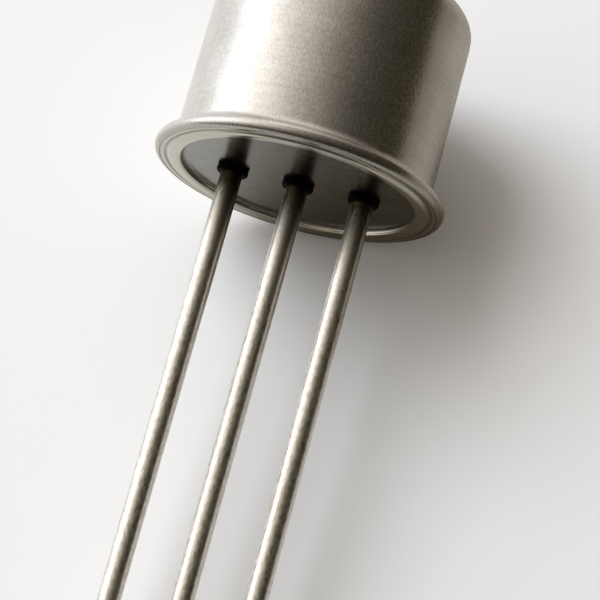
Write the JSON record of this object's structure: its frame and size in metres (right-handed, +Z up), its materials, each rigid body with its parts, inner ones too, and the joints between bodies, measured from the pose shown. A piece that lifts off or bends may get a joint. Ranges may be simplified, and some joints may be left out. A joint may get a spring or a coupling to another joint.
{
  "type": "transistor",
  "caption": "Small transistor in a round metal can with a rolled brim, a recessed base and straight wire leads in a row through black glass seals.",
  "frame": {"origin": "on the surface it lies on, under the middle of its box", "axes": "+Z up, +Y from the lead tips towards the can's top, +X along the row of leads from emitter to collector; the can's axis rises towards the top, as it does on a part that lies on its brim and lead tips"},
  "size_m": [0.0056, 0.0202, 0.0058],
  "materials": {
    "can_plate": "satin nickel plate",
    "header_plate": "satin nickel plate",
    "lead_wire": "drawn and tinned",
    "seal_glass": "fused black glass",
    "silicon": "polished",
    "attach_metal": "melted",
    "bond_wire": "drawn"
  },
  "bodies": {
    "root": {"cap": "can_plate", "header": "header_plate", "die": "silicon", "die_attach": "attach_metal", "bond_wire_emitter": "bond_wire", "bond_wire_base": "bond_wire", "collector_link": "bond_wire", "lead_emitter": "lead_wire", "seal_emitter": "seal_glass", "lead_base": "lead_wire", "seal_base": "seal_glass", "lead_collector": "lead_wire", "seal_collector": "seal_glass"}
  },
  "joints": []
}
